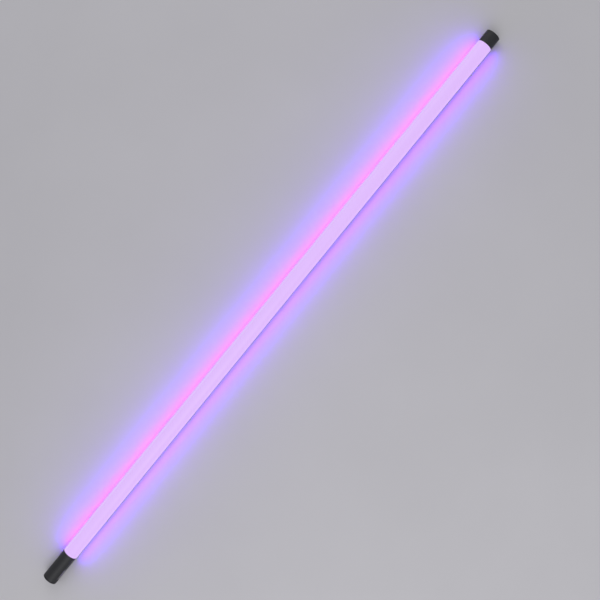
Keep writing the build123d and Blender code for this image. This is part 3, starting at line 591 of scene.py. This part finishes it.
def thread(name, node):
    """The ridge of a thread round the inside of a node's bore, as one closed helical strip."""
    low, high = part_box(node)
    start, end = low[0] + THREAD_PITCH, high[0] - THREAD_PITCH
    turns = (end - start) / THREAD_PITCH
    steps = int(turns * STEPS_PER_TURN)
    section = ((0.0, -0.42), (THREAD_DEPTH, -0.08), (THREAD_DEPTH, 0.08), (0.0, 0.42))
    verts, faces = [], []
    for i in range(steps + 1):
        angle = 2 * math.pi * turns * i / steps
        x = start + (end - start) * i / steps
        fade = max(0.05, min(1.0, i / 16, (steps - i) / 16))
        for inwards, along in section:
            r = THREAD_R + THREAD_SUNK - inwards * fade
            side, up = r * math.cos(angle), AXIS_Z + r * math.sin(angle)
            verts.append((x + along * THREAD_PITCH, side, up))
    size = len(section)
    for i in range(steps):
        for j in range(size):
            a, b = i * size + j, i * size + (j + 1) % size
            faces.append((a, b, b + size, a + size))
    faces.append(tuple(reversed(range(size))))
    faces.append(tuple(steps * size + j for j in range(size)))
    mesh = bpy.data.meshes.new(name)
    mesh.from_pydata(verts, [], faces)
    mesh.validate()
    finished(name, mesh, MATERIALS["steel"], TUBE_BODY)


def flap_ribs():
    """Three grip ribs near the free edge of the socket flap."""
    low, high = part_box("port_flap")
    ribs = [bar(0, -4.9 * MM + RIB_PITCH * i, (9.0 + 2.0 * i) * MM, 0.5 * MM) for i in range(3)]
    place = ((low[0] + high[0]) / 2, high[1] + RIB_HEIGHT / 2 - RIB_SUNK, AXIS_Z)
    slab("flap_ribs", ribs, RIB_HEIGHT, ON_FAR_SIDE, place,
         MATERIALS["flap"], "flap", 0.08 * MM)


tube_pieces()
display_pieces()
button_marks()
thread("control_thread", "control_insert")
thread("tail_thread", "tail_insert")
flap_ribs()


# ---- Stage, lights and camera ----


def floor_piece():
    """A plain floor that reaches far past the picture."""
    reach = FLOOR_REACH
    mesh = bpy.data.meshes.new("floor")
    corners = [(-reach, -reach, 0), (reach, -reach, 0), (reach, reach, 0), (-reach, reach, 0)]
    mesh.from_pydata(corners, [], [(0, 1, 2, 3)])
    mesh.materials.append(pale_floor())
    floor = bpy.data.objects.new("floor", mesh)
    floor.location.z = CAD_BOX[0][2] - FLOOR_GAP
    bpy.context.scene.collection.objects.link(floor)


def area_light(name, place, aim, size, power, color=(255, 255, 255)):
    """A rectangular lamp that faces a point."""
    data = bpy.data.lights.new(name, "AREA")
    data.shape = "RECTANGLE"
    data.size, data.size_y = size
    data.energy = power
    data.color = linear(color)[:3]
    lamp = bpy.data.objects.new(name, data)
    lamp.location = place
    lamp.rotation_euler = (Vector(aim) - Vector(place)).to_track_quat("-Z", "Y").to_euler()
    bpy.context.scene.collection.objects.link(lamp)
    return lamp


def spill_lights():
    """The tube's own light on the floor: a long narrow lamp low along each side of it."""
    low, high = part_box("diffuser")
    middle = (low[0] + high[0]) / 2
    for side, power in SPILL_POWERS:
        place = Vector((middle, side * SPILL_OFFSET, SPILL_HEIGHT))
        size = (high[0] - low[0], SPILL_WIDTH)
        lamp = area_light(f"spill_{side}", place, place, size, power, VIOLET)
        outwards = Vector((0, side, -SPILL_DROP)).normalized()
        along = Vector((1, 0, 0))
        across = (-outwards).cross(along)
        lamp.rotation_euler = Matrix((along, across, -outwards)).transposed().to_euler()


def studio():
    """Soft light from the sky and two large lamps."""
    world = bpy.data.worlds.new("studio")
    bpy.context.scene.world = world
    world.use_nodes = True
    sky = world.node_tree.nodes["Background"]
    sky.inputs["Color"].default_value = SKY_COLOR
    sky.inputs["Strength"].default_value = SKY_STRENGTH
    area_light("key", (-1.2, -1.6, 2.6), (0, 0, 0), (2.6, 2.6), KEY_POWER)
    area_light("fill", (1.8, 1.9, 2.2), (0, 0, 0), (2.4, 2.4), FILL_POWER)
    bpy.context.scene.view_settings.view_transform = "Standard"


def camera():
    """Looks at the lit front from a little to one side, with the tube leaning to the right."""
    lean = math.radians(CAMERA_LEAN)
    low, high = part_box("diffuser")
    target = Vector(((low[0] + high[0]) / 2, 0, AXIS_Z))
    distance = CAMERA_DISTANCE * (high[0] - low[0])
    side_tilt, end_tilt = math.radians(CAMERA_SIDE_TILT), math.radians(CAMERA_END_TILT)
    back = Vector((math.sin(end_tilt), -math.sin(side_tilt), math.cos(side_tilt))).normalized()
    along = Vector((1, 0, 0))
    along = (along - back * along.dot(back)).normalized()
    across = along.cross(back)
    up = along * math.cos(lean) - across * math.sin(lean)
    right = up.cross(back)
    data = bpy.data.cameras.new("camera")
    data.lens = CAMERA_LENS
    data.sensor_width = CAMERA_SENSOR
    data.clip_end = 100
    view = bpy.data.objects.new("camera", data)
    aim = target + right * AIM_RIGHT + along * AIM_ALONG
    turn = Matrix((right, up, back)).transposed().to_4x4()
    view.matrix_world = Matrix.Translation(aim + back * distance) @ turn
    bpy.context.scene.collection.objects.link(view)
    bpy.context.scene.camera = view


floor_piece()
spill_lights()
studio()
camera()
